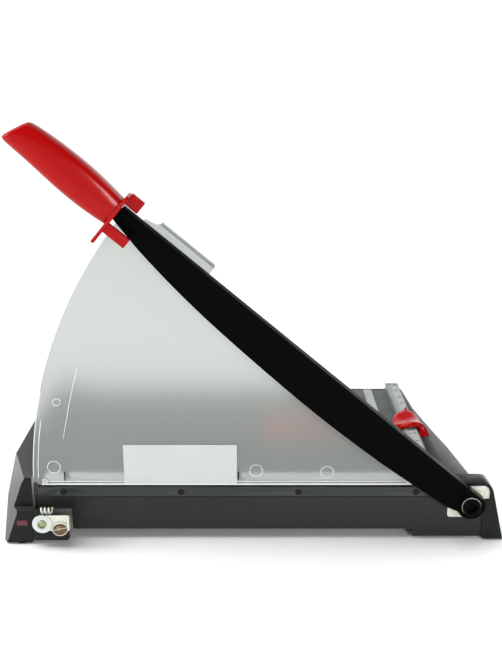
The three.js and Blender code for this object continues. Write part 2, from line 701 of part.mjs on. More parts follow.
function buildGuard() {
  const guard = new THREE.Group();
  node(guard, "guard_plate", "clear", guardPlate());
  node(guard, "clamp_foot", "clear", clampFoot());
  node(guard, "clamp_pad", "rubber", clampPad());
  node(guard, "guard_label", "white", guardLabel());
  GUARD_SCREWS.forEach((x, i) => {
    const screw = screwY(x, GUARD_SCREW.z, GUARD_SCREW.head, 1, 2.7, GUARD_SCREW.shaft, 5.9);
    node(guard, `guard_screw_${i + 1}`, "steel", screw);
  });
  return guard;
}

function buildLatch() {
  const latch = new THREE.Group();
  node(latch, "latch_plate", "zinc", latchPlate());
  node(latch, "latch_washer", "chrome", latchWasher());
  return latch;
}

function buildStop() {
  const stop = new THREE.Group();
  node(stop, "paper_stop", "red", paperStop());
  node(stop, "paper_stop_pad", "rubber", paperStopPad());
  return stop;
}

const trimmer = new THREE.Group();
trimmer.add(buildBase(), buildPivot(), buildLatchMount(), buildArm(), buildGuard(), buildLatch(), buildStop());
trimmer.position.set(0, -ORIGIN_Y, 0);

export default trimmer;
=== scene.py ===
"""The look of the lever-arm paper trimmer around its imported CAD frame. Blender 4.5, metres."""

import bmesh
import bpy
import json
import math
from mathutils import Matrix, Vector


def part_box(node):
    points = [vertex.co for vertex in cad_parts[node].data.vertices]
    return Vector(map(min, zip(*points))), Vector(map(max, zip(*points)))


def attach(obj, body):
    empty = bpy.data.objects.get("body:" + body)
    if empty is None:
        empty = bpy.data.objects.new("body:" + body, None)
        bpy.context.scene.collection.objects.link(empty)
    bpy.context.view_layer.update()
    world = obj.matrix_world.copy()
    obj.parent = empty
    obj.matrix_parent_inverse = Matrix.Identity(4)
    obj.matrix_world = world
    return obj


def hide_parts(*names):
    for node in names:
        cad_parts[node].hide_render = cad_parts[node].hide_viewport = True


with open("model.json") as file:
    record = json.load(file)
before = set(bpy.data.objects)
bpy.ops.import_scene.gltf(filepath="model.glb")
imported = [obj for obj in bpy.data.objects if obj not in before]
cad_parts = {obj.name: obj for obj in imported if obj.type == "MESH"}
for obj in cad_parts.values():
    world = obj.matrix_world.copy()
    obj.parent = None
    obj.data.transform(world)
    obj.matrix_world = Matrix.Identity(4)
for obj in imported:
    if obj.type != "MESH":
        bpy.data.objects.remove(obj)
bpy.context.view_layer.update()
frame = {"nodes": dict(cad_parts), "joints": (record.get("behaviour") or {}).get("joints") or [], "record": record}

MM = 0.001
WELD_DISTANCE = 2e-6  # metres
FLAT_ANGLE = math.radians(1)  # faces closer than this to one plane are merged into one
JOINTS = {joint["name"]: joint for joint in frame["joints"]}
PIVOT = Vector(JOINTS["arm_swing"]["pos_m"])
CUT_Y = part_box("fixed_blade")[0].y  # the cutting line
DECK_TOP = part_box("table_deck")[1].z / MM
ARM_ANGLE = 40.0  # degrees above level at rest
BASE_POSE = Matrix.Translation((0, CUT_Y, 0))  # base pieces are drawn in mm, Y from the cutting line
ARM_POSE = Matrix.Translation((PIVOT.x, CUT_Y, PIVOT.z)) @ Matrix.Rotation(math.radians(ARM_ANGLE), 4, "Y")


# ------------------------------------------------------------------ materials
def principled(name, base, roughness, metallic=0.0, **sockets):
    material = bpy.data.materials.new(name)
    material.use_nodes = True
    shader = material.node_tree.nodes["Principled BSDF"]
    shader.inputs["Base Color"].default_value = (*base, 1)
    shader.inputs["Roughness"].default_value = roughness
    shader.inputs["Metallic"].default_value = metallic
    for socket, value in sockets.items():
        shader.inputs[socket.replace("_", " ")].default_value = value
    return material


def noise(material, scale, detail, stretch=(1, 1, 1)):
    nodes, links = material.node_tree.nodes, material.node_tree.links
    place = nodes.new("ShaderNodeTexCoord")
    mapping = nodes.new("ShaderNodeMapping")
    mapping.inputs["Scale"].default_value = stretch
    texture = nodes.new("ShaderNodeTexNoise")
    texture.inputs["Scale"].default_value = scale
    texture.inputs["Detail"].default_value = detail
    links.new(place.outputs["Object"], mapping.inputs["Vector"])
    links.new(mapping.outputs["Vector"], texture.inputs["Vector"])
    return texture.outputs["Fac"]


NOISE_LOW, NOISE_HIGH = 0.3, 0.7  # the part of a noise texture's range that is put to use


def spread(material, factor, low, high):
    """A value that runs from low to high over the noise's useful range."""
    nodes, links = material.node_tree.nodes, material.node_tree.links
    scale = nodes.new("ShaderNodeMapRange")
    scale.inputs["From Min"].default_value = NOISE_LOW
    scale.inputs["From Max"].default_value = NOISE_HIGH
    scale.inputs["To Min"].default_value = low
    scale.inputs["To Max"].default_value = high
    links.new(factor, scale.inputs["Value"])
    return scale.outputs["Result"]


def colour_ramp(material, factor, dark, light):
    nodes, links = material.node_tree.nodes, material.node_tree.links
    ramp = nodes.new("ShaderNodeValToRGB")
    ramp.color_ramp.elements[0].position = NOISE_LOW
    ramp.color_ramp.elements[1].position = NOISE_HIGH
    ramp.color_ramp.elements[0].color = (*dark, 1)
    ramp.color_ramp.elements[1].color = (*light, 1)
    links.new(factor, ramp.inputs["Fac"])
    return ramp.outputs["Color"]


def plug(material, output, socket):
    material.node_tree.links.new(output, material.node_tree.nodes["Principled BSDF"].inputs[socket])


BUMP_DEPTH = 0.0002  # metres


def add_bump(material, factor, strength):
    nodes, links = material.node_tree.nodes, material.node_tree.links
    bump = nodes.new("ShaderNodeBump")
    bump.inputs["Strength"].default_value = strength
    bump.inputs["Distance"].default_value = BUMP_DEPTH
    links.new(factor, bump.inputs["Height"])
    plug(material, bump.outputs["Normal"], "Normal")


def scaled(colour, by):
    return tuple(c * by for c in colour)


EVEN = (1, 1, 1)
DRIFT_SCALE, SMEAR_SCALE = 22, 70  # sizes of the noises that vary the colour and the roughness
SMEAR = 0.15  # share by which the roughness varies


def surface(name, base, roughness, metallic=0.0, tone=0.12, grain=900, bump=0.1, stretch=EVEN, **sockets):
    """A finish whose colour and roughness drift a little and whose surface has a fine grain."""
    material = principled(name, base, roughness, metallic, **sockets)
    drift = noise(material, DRIFT_SCALE, 4.0, stretch)
    colour = colour_ramp(material, drift, scaled(base, 1 - tone), scaled(base, 1 + tone))
    plug(material, colour, "Base Color")
    smear = noise(material, SMEAR_SCALE, 4.0, stretch)
    rough = spread(material, smear, roughness * (1 - SMEAR), min(1.0, roughness * (1 + SMEAR)))
    plug(material, rough, "Roughness")
    add_bump(material, noise(material, grain, 2.0, stretch), bump)
    return material


BRUSH_X = (0.04, 1, 1)  # streaks along X
BRUSH_Y = (1, 0.04, 1)
DULL = {"Specular_IOR_Level": 0.2}
MATERIALS = {
    "deck": surface("grey_deck_paint", (0.077, 0.081, 0.077), 0.5, tone=0.06, grain=1500, bump=0.25, **DULL),
    "casing": surface(
        "slate_moulding",
        (0.0062, 0.0072, 0.0067),
        0.36,
        tone=0.1,
        grain=1700,
        bump=0.25,
        Specular_IOR_Level=0.14,
        Sheen_Weight=0.5,
        Sheen_Roughness=0.36,
    ),
    "panel": surface(
        "slate_panel_paint",
        (0.0168, 0.0188, 0.0177),
        0.45,
        tone=0.06,
        grain=1300,
        bump=0.2,
        **DULL,
    ),
    "blade": surface("blackened_blade", (0.018, 0.0215, 0.0223), 0.42, 0.2, tone=0.15, stretch=BRUSH_X),
    "arm": surface(
        "black_powder_coat",
        (0.0014, 0.0014, 0.0015),
        0.36,
        tone=0.15,
        grain=1400,
        bump=0.3,
        Specular_IOR_Level=0.02,
    ),
    "steel": surface("ground_steel", (0.5, 0.51, 0.5), 0.28, 1.0, tone=0.1, grain=1000, stretch=BRUSH_X),
    "zinc": surface("pale_zinc_plate", (0.66, 0.68, 0.58), 0.42, 0.35, tone=0.06, grain=700),
    "chrome": surface("bright_nickel", (0.6, 0.64, 0.62), 0.28, 0.6, tone=0.05, grain=500, bump=0.05),
    "black_steel": surface(
        "black_oxide",
        (0.006, 0.006, 0.0065),
        0.32,
        0.1,
        tone=0.2,
        Specular_IOR_Level=0.25,
    ),
    "brass": surface("yellow_zinc", (0.5, 0.45, 0.25), 0.3, 1.0, tone=0.2),
    "red": surface(
        "red_moulding",
        (0.33, 0.0006, 0.0009),
        0.17,
        tone=0.04,
        grain=260,
        bump=0.02,
        Specular_IOR_Level=0.15,
    ),
    "white": surface("white_film", (0.5, 0.532, 0.514), 0.55, tone=0.03, grain=600, bump=0.05),
    "aluminium": surface("satin_aluminium", (0.3, 0.32, 0.31), 0.4, 0.8, tone=0.08, stretch=BRUSH_Y),
    "rubber": surface("black_rubber", (0.02, 0.02, 0.02), 0.85, tone=0.2, grain=800, bump=0.4, **DULL),
}
INK = surface("scale_ink", (0.03, 0.03, 0.03), 0.6, tone=0.2)
STRIPE = surface("scale_print", (0.33, 0.355, 0.34), 0.5, tone=0.08)
RED_PRINT = surface("deck_print", (0.4, 0.03, 0.035), 0.5, tone=0.1)
DARK_RED = surface("red_inlay", (0.11, 0.012, 0.016), 0.4, tone=0.15)
BOLT_BLACK = surface(
    "bolt_black",
    (0.002, 0.002, 0.0022),
    0.32,
    tone=0.15,
    bump=0.02,
    Specular_IOR_Level=0.03,
)
GREEN_ZINC = surface("green_zinc", (0.33, 0.36, 0.2), 0.3, 0.8, tone=0.2, grain=600)
# Painted reflection: the brown seen reflected in the thumb tab's dish, coloured into its zinc.
PAINTED_BROWN_REFLECTION = surface("zinc_with_painted_brown_reflection", (0.34, 0.2, 0.125), 0.32, 0.6, tone=0.25, grain=600)


def frosted_clear():
    material = principled("frosted_clear", (0.57, 0.603, 0.577), 0.3, Transmission_Weight=0.8, IOR=1.45)
    add_bump(material, noise(material, 1200, 2.0), 0.15)
    return material


MATERIALS["clear"] = frosted_clear()


# ------------------------------------------------------------------ shaping
def soften(piece, width, segments=2, angle=30, flat=True):
    """Rounds a piece's sharp edges and shades the rest smooth."""
    weld = piece.modifiers.new("weld", "WELD")
    weld.merge_threshold = WELD_DISTANCE
    if flat:
        merge = piece.modifiers.new("flat_faces", "DECIMATE")
        merge.decimate_type = "DISSOLVE"
        merge.angle_limit = FLAT_ANGLE
    bevel = piece.modifiers.new("edges", "BEVEL")
    bevel.width = width * MM
    bevel.segments = segments
    bevel.limit_method = "ANGLE"
    bevel.angle_limit = math.radians(angle)
    bevel.harden_normals = True
    piece.data.shade_smooth()


def dress(name, slot, edge):
    """A CAD node that keeps its shape: its material and softened edges."""
    piece = frame["nodes"][name]
    piece.data.materials.clear()
    piece.data.materials.append(MATERIALS[slot])
    if edge:
        soften(piece, edge)
    return piece


def mesh_of(name, points, faces, pose=BASE_POSE):
    """An object from points in mm, drawn level in the base's or the arm's own coordinates."""
    mesh = bpy.data.meshes.new(name)
    mesh.from_pydata([pose @ (Vector(p) * MM) for p in points], [], faces)
    body = bmesh.new()
    body.from_mesh(mesh)
    bmesh.ops.recalc_face_normals(body, faces=body.faces)
    body.to_mesh(mesh)
    body.free()
    piece = bpy.data.objects.new(name, mesh)
    bpy.context.scene.collection.objects.link(piece)
    return piece


def loft(name, rings, pose=BASE_POSE):
    """A closed skin through rings of points, each ring with the same count, with both ends filled."""
    count = len(rings[0])
    points = [p for ring in rings for p in ring]
    faces = [tuple(range(count)), tuple(reversed(range(len(points) - count, len(points))))]
    for r in range(len(rings) - 1):
        for i in range(count):
            j = (i + 1) % count
            a = r * count
            faces.append((a + i, a + j, a + count + j, a + count + i))
    return mesh_of(name, points, faces, pose)


def prism(name, outline, near, far, pose=BASE_POSE, axis="Y"):
    """An outline given across two axes, carried along the third from near to far."""
    place = {
        "X": lambda p, d: (d, p[0], p[1]),
        "Y": lambda p, d: (p[0], d, p[1]),
    }[axis]
    return loft(name, [[place(p, near) for p in outline], [place(p, far) for p in outline]], pose)


def block(name, low, high, pose=BASE_POSE):
    outline = [(low[0], low[2]), (high[0], low[2]), (high[0], high[2]), (low[0], high[2])]
    return prism(name, outline, low[1], high[1], pose)


def finish_piece(piece, body, slot, *nodes, material=None):
    """Gives a new piece its material (the slot's, unless one is given), smooth shading and its body, and hides the
    CAD nodes it stands in for.
    """
    piece.data.materials.clear()
    piece.data.materials.append(material or MATERIALS[slot])
    piece.data.shade_smooth()
    if nodes:
        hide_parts(*nodes)
    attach(piece, body)


def crease(piece, pick, amount):
    """Sharpens the edges that pick(start, end) chooses, for a subdivision surface."""
    layer = piece.data.attributes.new("crease_edge", "FLOAT", "EDGE")
    for edge in piece.data.edges:
        a, b = edge.vertices
        layer.data[edge.index].value = amount if pick(a, b) else 0.0


def subdivide(piece):
    smooth = piece.modifiers.new("surface", "SUBSURF")
    smooth.levels = 2
    smooth.render_levels = 2


def arc(centre, radius, start, end, steps):
    angles = [math.radians(start + (end - start) * i / steps) for i in range(steps + 1)]
    return [(centre[0] + radius * math.cos(a), centre[1] + radius * math.sin(a)) for a in angles]


# ------------------------------------------------------------------ handle
# Each station along the arm: distance from the pivot, lowest and highest edge, front and back face, lean of the end.
GRIP_STATIONS = [
    (404.3, -8.5, 16.6, -24.0, -2.0, 0),
    (406.5, -8.8, 16.9, -24.4, -1.8, 0),
    (420, -10.0, 18.6, -25.6, -1.2, 0),
    (438, -10.6, 20.1, -26.0, -1.0, 0),
    (456, -9.9, 20.4, -26.0, -1.0, 0),
    (474, -8.3, 19.8, -25.8, -1.2, 2),
    (488, -7.4, 18.9, -25.0, -1.8, 4),
    (498, -7.1, 18.0, -24.0, -2.6, 6),
    (504.0, -6.7, 16.9, -22.8, -3.6, 8),
    (506.0, -4.6, 14.9, -20.4, -5.8, 9),
]
# Around one section: fractions across the depth and up the height. The front face bulges below a ridge.
GRIP_SECTION = [
    (0.15, 0.975),
    (0.09, 0.9),
    (0.04, 0.74),
    (0.0, 0.53),
    (0.03, 0.33),
    (0.12, 0.15),
    (0.26, 0.04),
    (0.40, 0.0),
    (0.62, 0.0),
    (0.78, 0.04),
    (0.90, 0.15),
    (0.98, 0.33),
    (1.0, 0.53),
    (0.985, 0.73),
    (0.95, 0.885),
    (0.88, 1.0),
    (0.66, 1.01),
    (0.40, 1.005),
]


def handle_body():
    rings = []
    for along, low, high, front, back, lean in GRIP_STATIONS:
        ring = []
        for across, up in GRIP_SECTION:
            y = front + (back - front) * across
            ring.append((-along + lean * (up - 0.5), y, low + (high - low) * up))
        rings.append(ring)
    piece = loft("handle_moulding", rings, ARM_POSE)
    count = len(GRIP_SECTION)
    ridges = (0, 15)  # the two long edges of the top face

    def sharp(a, b):
        along_ridge = a % count in ridges and b % count in ridges and abs(a - b) == count
        at_root = a < count and b < count
        return along_ridge or at_root

    crease(piece, sharp, 0.95)
    subdivide(piece)
    finish_piece(piece, "arm", "red", "handle_grip")


def handle_parts():
    handle_body()
    guard_outline = [
        (-26, -8),
        (-24.5, -12),
        (-24.5, -25),
        (-12, -25),
        (-12, -10),
        (-9, -8),
        (-1, -8),
        (-1, 20.5),
        (-3.5, 23),
        (-23.5, 23),
        (-26, 20.5),
    ]
    flange = prism("handle_flange", guard_outline, -404.7, -401.6, ARM_POSE, "X")
    catch = block("handle_catch", (-402.0, -24.5, -12.6), (-380.5, -19.8, -3.6), ARM_POSE)
    tab = block("handle_tab", (-402.0, -10, 13.6), (-389, -5, 24.8), ARM_POSE)
    for piece in (flange, catch, tab):
        soften(piece, 0.9, 3)
        finish_piece(piece, "arm", "red", "handle_grip")


handle_parts()


# ------------------------------------------------------------------ knife
# The arm's lower edge from the knife's heel to its tip, level with the pivot at 0, 0.
LOWER_EDGE = [
    (-32, -16.5),
    (-50, -18),
    (-99, -21.4),
    (-160, -22.8),
    (-230, -21),
    (-300, -16.8),
    (-360, -9.4),
    (-399.3, -1.3),
]


def smooth_edge(points, steps=6):
    """A Catmull-Rom line through points."""
    ends = [points[0]] + points + [points[-1]]
    line = []
    for k in range(1, len(ends) - 2):
        p = [Vector((*ends[k + i], 0)) for i in (-1, 0, 1, 2)]
        for s in range(steps):
            t = s / steps
            v = 0.5 * (
                2 * p[1] + (p[2] - p[0]) * t + (2 * p[0] - 5 * p[1] + 4 * p[2] - p[3]) * t * t
                + (3 * p[1] - p[0] - 3 * p[2] + p[3]) * t**3
            )
            line.append((v.x, v.y))
    return line + [points[-1]]


def knife():
    """The moving blade: a flat back, and a bevel ground on the front along the bellied edge."""
    proud, bevel = 3.0, 4.5
    front, back, land = -2.9, -0.4, -0.75
    heel, length = 32, 367
    rings = []
    for x, z in smooth_edge(LOWER_EDGE):
        edge = z - proud
        top = 2.0 + 2.0 * (-x - heel) / length
        section = [(back, top), (back, edge), (land, edge), (front, edge + bevel), (front, top)]
        rings.append([(x, y, height) for y, height in section])
    piece = loft("knife_blade", rings, ARM_POSE)
    soften(piece, 0.12, 1)
    finish_piece(piece, "arm", "steel", "knife")


knife()


# ------------------------------------------------------------------ pivot bolt
def socket_screw(name, x, z, profile, sides, socket):
    """A screw along Y through rings of (radius, Y). The last `socket` rings are hexagons."""
    rings = []
    for k, (radius, y) in enumerate(profile):
        ring = []
        for s in range(sides):
            a = 2 * math.pi * s / sides
            r = radius
            if k >= len(profile) - socket:
                r *= math.cos(math.pi / 6) / math.cos((a % (math.pi / 3)) - math.pi / 6)
            ring.append((x + r * math.cos(a), y, z + r * math.sin(a)))
        rings.append(ring)
    return loft(name, rings)


# Radius and Y from the shaft's end, over the flange and the rounded head, to the socket's floor.
BOLT_PROFILE = [
    (5.0, 11.0),
    (5.0, -18.1),
    (8.3, -18.1),
    (8.3, -18.5),
    (8.0, -18.8),
    (7.7, -18.9),
    (7.6, -20.4),
    (6.9, -21.6),
    (6.0, -22.0),
    (5.3, -21.7),
    (4.7, -20.6),
    (4.6, -20.2),
    (4.4, -15.0),
    (2.0, -14.6),
]


def pivot_bolt():
    """A socket button head over a thin flange, its rim rounded and its hexagon socket deep."""
    bolt = socket_screw("pivot_bolt_head", PIVOT.x / MM, PIVOT.z / MM, BOLT_PROFILE, 64, 3)
    soften(bolt, 0.08, 1, 50, flat=False)
    finish_piece(bolt, "base", "black_steel", "pivot_bolt", material=BOLT_BLACK)


pivot_bolt()


# ------------------------------------------------------------------ front end cap
# Plan outlines from the desk up: height, near face, outer face, inner face of the toe.
CAP_LEVELS = [
    (1.5, -9.6, -227.4, -201.5),
    (5.0, -10.0, -227.5, -198.2),
    (11.5, -10.0, -227.5, -197.6),
    (31.2, -10.0, -227.5, -197.6),
    (32.8, -8.4, -227.5, -199.2),
    (33.2, -0.2, -227.5, -200.3),
    (60.0, -0.2, -227.5, -200.3),
    (61.0, 0.6, -226.8, -200.3),
]
CAP_ROOF = 40  # height of the hollow under the cap
# Two leaning facets slice the near end, and both pass through this point.
FACET_POINT = Vector((-205, -5, 61))
FACETS = (Vector((-0.828, -0.473, 0.303)), Vector((-0.83, -0.3, 0.47)))


def slice_off(piece, point, outward):
    """Cuts away what lies beyond a plane and closes the cut."""
    body = bmesh.new()
    body.from_mesh(piece.data)
    parts = body.verts[:] + body.edges[:] + body.faces[:]
    cut = bmesh.ops.bisect_plane(body, geom=parts, plane_co=point, plane_no=outward, clear_outer=True)
    rim = [part for part in cut["geom_cut"] if isinstance(part, bmesh.types.BMEdge)]
    bmesh.ops.holes_fill(body, edges=rim)
    bmesh.ops.recalc_face_normals(body, faces=body.faces)
    body.to_mesh(piece.data)
    body.free()


def front_cap():
    rings = []
    for height, near, outer, toe_inner in CAP_LEVELS:
        ring = [
            (toe_inner, near),
            (toe_inner, max(near, 0.0) + 0.1),
            (-200.4, max(near, 0.0) + 0.4),
            (-200.4, 256),
            (outer + 5, 256),
            (outer, 251),
            (outer, near),
        ]
        rings.append([(x, y, height) for x, y in ring])
    inner, outer, near, far = -203.5, -224.5, 28, 234
    pocket = [(inner, near), (inner, near + 1), (inner, near + 2), (inner, far)]
    pocket += [(outer + 0.5, far), (outer, far - 1), (outer, near)]
    hollow = [(x, y, CAP_LEVELS[0][0]) for x, y in pocket]
    roof = [(x, y, CAP_ROOF) for x, y in pocket]
    piece = loft("front_cap_moulding", [roof, hollow] + rings)
    for outward in FACETS:
        slice_off(piece, BASE_POSE @ (FACET_POINT * MM), outward)
    soften(piece, 1.1, 3, 22)
    finish_piece(piece, "base", "casing", "front_end_cap")
    inlay = block("front_cap_inlay", (-213.6, -10.25, 19.0), (-204.4, -9.9, 24.0))
    soften(inlay, 0.1, 1)
    finish_piece(inlay, "base", "red", material=DARK_RED)


front_cap()


# ------------------------------------------------------------------ latch
LATCH_X, LATCH_Z = -188.8, 25.6
LATCH_PIN = 3.2  # radius of the bore for the latch screw
LEAF_ROUND = 7.4  # radius of the plate's round end
# Radius and Y round the clamping disc's section.
DISC_SECTION = [
    (LATCH_PIN, -19.2),
    (8.6, -19.2),
    (8.8, -19.5),
    (8.8, -19.9),
    (8.4, -20.2),
    (7.2, -20.2),
    (6.6, -19.9),
    (5.0, -19.9),
    (4.6, -20.1),
    (LATCH_PIN, -20.1),
]
# X and Z of the plate's outline after its upper left end, and Y and Z of its turned-up lip.
LEAF_CORNERS = [(-168, 33.5), (-164.6, 33.1), (-163.9, 31.8), (-163.9, 21.5), (-166, 19.4), (-176, 18.4)]
LIP_SECTION = [
    (-18.9, 20.4),
    (-18.9, 32.4),
    (-20.6, 32.9),
    (-23.4, 31.6),
    (-23.8, 30.2),
    (-23.8, 22.4),
    (-22.4, 20.4),
]


def turned(name, profile, sides=48):
    """A closed profile of (radius, Y) turned about the latch pin."""
    rings = []
    for k in range(sides):
        a = 2 * math.pi * k / sides
        rings.append([(LATCH_X + r * math.cos(a), y, LATCH_Z + r * math.sin(a)) for r, y in profile])
    count = len(profile)
    points = [p for ring in rings for p in ring]
    faces = []
    for k in range(sides):
        n = (k + 1) % sides
        for i in range(count):
            j = (i + 1) % count
            faces.append((k * count + i, k * count + j, n * count + j, n * count + i))
    return mesh_of(name, points, faces)


def latch():
    disc = turned("latch_disc", DISC_SECTION)
    soften(disc, 0.12, 2, 30, flat=False)
    finish_piece(disc, "latch", "chrome", "latch_washer")
    outline = [(LATCH_X, LATCH_Z + LEAF_ROUND)] + LEAF_CORNERS + [(LATCH_X, LATCH_Z - LEAF_ROUND)]
    outline += arc((LATCH_X, LATCH_Z), LEAF_ROUND, -90, -270, 16)[1:-1]
    plate = prism("latch_leaf", outline, -18.9, -17.3)
    bore = plate.modifiers.new("bore", "BOOLEAN")
    pin = turned_pin()
    bore.object = pin
    bore.solver = "EXACT"
    bake(plate)
    bpy.data.objects.remove(pin)
    soften(plate, 0.35, 2)
    finish_piece(plate, "latch", "zinc", "latch_plate")
    lip = prism("latch_lip", LIP_SECTION, -165.6, -163.9, axis="X")
    soften(lip, 0.35, 2)
    finish_piece(lip, "latch", "zinc", "latch_plate")
    thumb_tab()


def turned_pin():
    return prism("latch_pin_bore", arc((LATCH_X, LATCH_Z), LATCH_PIN, 0, 345, 23), -30, 0)


def bake(piece):
    """Turns a piece's modifiers into its mesh."""
    shaped = piece.evaluated_get(bpy.context.evaluated_depsgraph_get())
    mesh = bpy.data.meshes.new_from_object(shaped)
    piece.modifiers.clear()
    piece.data = mesh


THUMB_X, THUMB_Z = -172.6, 21.2
THUMB_LEAN = math.radians(14)
THUMB_RIM = [(1.0, -18.9), (1.04, -20.6), (1.0, -21.6), (0.94, -21.7), (0.91, -21.2)]  # scale and Y
THUMB_DISH = [(0.91, -21.25), (0.5, -20.05), (0.02, -19.75), (0.02, -19.2)]
FOLD_SECTION = [(-6.4, -0.25), (6.4, -0.25), (6.6, 0), (6.4, 0.25), (-6.4, 0.25), (-6.6, 0)]


def thumb_tab():
    """The curled tab that a thumb presses: a leaning oval dish inside a pale rim, the dish coloured brown as a
    painted reflection.
    """
    wide, high, curl = 7.1, 6.0, -0.1
    cos, sin = math.cos(THUMB_LEAN), math.sin(THUMB_LEAN)

    def oval(scale, depth, steps=40):
        ring = []
        for k in range(steps):
            a = 2 * math.pi * k / steps
            x, z = wide * scale * math.cos(a), high * scale * math.sin(a)
            y = depth + curl * max(0.0, -z)
            ring.append((THUMB_X + x * cos - z * sin, y, THUMB_Z + x * sin + z * cos))
        return ring

    rim = loft("latch_thumb_rim", [oval(s, y) for s, y in THUMB_RIM])
    soften(rim, 0.15, 2, 40, flat=False)
    finish_piece(rim, "latch", "zinc", "latch_plate")
    dish = loft("latch_thumb_dish", [oval(s, y) for s, y in THUMB_DISH])
    # The dish's brown is a painted reflection.
    finish_piece(dish, "latch", "zinc", material=PAINTED_BROWN_REFLECTION)
    spin = Matrix.Rotation(math.radians(-13), 4, "Y")
    place = Matrix.Translation((THUMB_X * MM, CUT_Y, (THUMB_Z + 0.4) * MM)) @ spin
    fold = prism("latch_thumb_fold", FOLD_SECTION, -21.6, -20.0, place)
    soften(fold, 0.15, 2)
    finish_piece(fold, "latch", "zinc")


def tube(name, path, radius, sides=10):
    """A round wire along a path of points."""
    path = [Vector(p) for p in path]
    rings = []
    for k, p in enumerate(path):
        ahead = (path[min(k + 1, len(path) - 1)] - path[max(k - 1, 0)]).normalized()
        across = ahead.cross(Vector((0.3, 0.1, 1)).normalized()).normalized()
        up = across.cross(ahead)
        ring = []
        for s in range(sides):
            a = 2 * math.pi * s / sides
            ring.append(tuple(p + across * radius * math.cos(a) + up * radius * math.sin(a)))
        rings.append(ring)
    return loft(name, rings)


def spring():
    turns, steps, radius = 3.2, 90, 2.5
    start, length, middle_y, middle_z = -191.2, 10.6, -12.2, 34.6
    path = []
    for k in range(steps + 1):
        f = k / steps
        a = f * turns * 2 * math.pi
        path.append((start + length * f, middle_y + radius * math.cos(a), middle_z + radius * math.sin(a)))
    piece = tube("latch_coil", path, 0.95)
    finish_piece(piece, "base", "zinc", "latch_spring")


# Radius and Y from under the head to the socket's floor.
LATCH_SCREW_PROFILE = [
    (2.6, -17),
    (2.6, -20.35),
    (4.2, -20.4),
    (4.2, -21.3),
    (3.8, -21.8),
    (3.2, -21.8),
    (3.0, -20.5),
]


def latch_screw_head():
    """A button head with a hexagon socket."""
    head = socket_screw("latch_screw_head", LATCH_X, LATCH_Z, LATCH_SCREW_PROFILE, 48, 2)
    soften(head, 0.08, 1, 40, flat=False)
    finish_piece(head, "base", "brass", "latch_screw", material=GREEN_ZINC)


latch()
latch_screw_head()
spring()


# ------------------------------------------------------------------ fence stop
# Over the rail from the left wing to the right leg: X and height of the skin, the same of the underside, and the
# near and far edge.
STOP_STATIONS = [
    (145.0, 58.8, 146.4, 54.4, 126, 146),
    (147.2, 61.6, 148.4, 56.4, 118.5, 150),
    (151.2, 64.6, 151.2, 61.2, 114.0, 152.5),
    (156.8, 66.2, 156.8, 62.4, 111.5, 154),
    (162.0, 66.8, 162.0, 62.6, 112.5, 154),
    (167.0, 65.8, 166.6, 62.2, 115.5, 152),
    (171.2, 63.2, 167.6, 58.6, 116.5, 147),
    (174.2, 59.0, 168.0, 55.0, 114.5, 140),
    (176.2, 53.6, 168.6, 52.7, 111.5, 132),
]
# Round one section: share of the thickness below the skin, share of the way from the near edge to the far one.
STOP_SECTION = [
    (1.0, 0.0),
    (0.2, -0.02),
    (-0.35, 0.04),
    (-0.28, 0.14),
    (0.5, 0.4),
    (0.1, 1.0),
    (1.0, 1.0),
    (1.0, 0.4),
    (1.0, 0.14),
]
STOP_CREASES = (2, 5, 6)  # points of the section whose lines stay crisp along the saddle
PEAK = [(147, 0.1), (150, 2.6), (152.4, 4.6), (154.2, 4.6), (155.4, 0.4)]  # Y and height over the skin


def paper_stop():
    """A saddle over the rail: a thick rolled near edge, a hollowed top and a small thumb peak at the far edge."""
    rings = []
    for x, z, under_x, under_z, near, far in STOP_STATIONS:
        ring = []
        for depth, along in STOP_SECTION:
            y = near + (far - near) * along
            ring.append((x + (under_x - x) * depth, y, z + (under_z - z) * depth))
        rings.append(ring)
    body = loft("stop_saddle", rings)
    count = len(STOP_SECTION)
    last = len(STOP_STATIONS) - 1

    def sharp(a, b):
        lengthwise = a // count != b // count and a % count in STOP_CREASES
        return lengthwise or (a // count == b // count and a // count in (0, last))

    crease(body, sharp, 0.6)
    subdivide(body)
    finish_piece(body, "stop", "red", "paper_stop")
    root, skin = 64.0, 64.8
    ridge = loft(
        "stop_ridge",
        [[(158.4, y, root), (159.4, y, skin + h), (161.0, y, skin + h), (162.4, y, root)] for y, h in PEAK],
    )
    soften(ridge, 0.6, 3)
    finish_piece(ridge, "stop", "red", "paper_stop")


paper_stop()


# ------------------------------------------------------------------ printed scales
BOX_FACES = ((0, 2, 3, 1), (4, 5, 7, 6), (0, 1, 5, 4), (2, 6, 7, 3), (0, 4, 6, 2), (1, 3, 7, 5))
INK_DEPTH = 0.05  # thickness of the printed marks
INK_LIFT = 0.01  # of the marks over the face they are printed on
NUMBER_LIFT = 0.03  # of the numbers over the marks' lower face
NUMBER_GAP = 0.8  # between a mark and the number beside it


def join_boxes(name, boxes):
    points, faces = [], []
    for low, high in boxes:
        k = len(points)
        (x0, y0, z0), (x1, y1, z1) = low, high
        points += [(x, y, z) for z in (z0, z1) for y in (y0, y1) for x in (x0, x1)]
        for quad in BOX_FACES:
            faces.append(tuple(k + q for q in quad))
    return mesh_of(name, points, faces)


def ticks(name, left, right, near, far, z, pitch):
    """Plain marks across a scale, every fifth one longer and every tenth one longer still."""
    marks = []
    for k in range(int((far - near) / pitch) + 1):
        y = near + k * pitch
        length = 0.6 if k % 10 == 0 else 0.42 if k % 5 == 0 else 0.26
        wide = 0.5 if k % 5 == 0 else 0.32
        end = left + (right - left) * length
        marks.append(((left, y - wide / 2, z), (end, y + wide / 2, z + INK_DEPTH)))
    finish_piece(join_boxes(name, marks), "base", "rubber", material=INK)


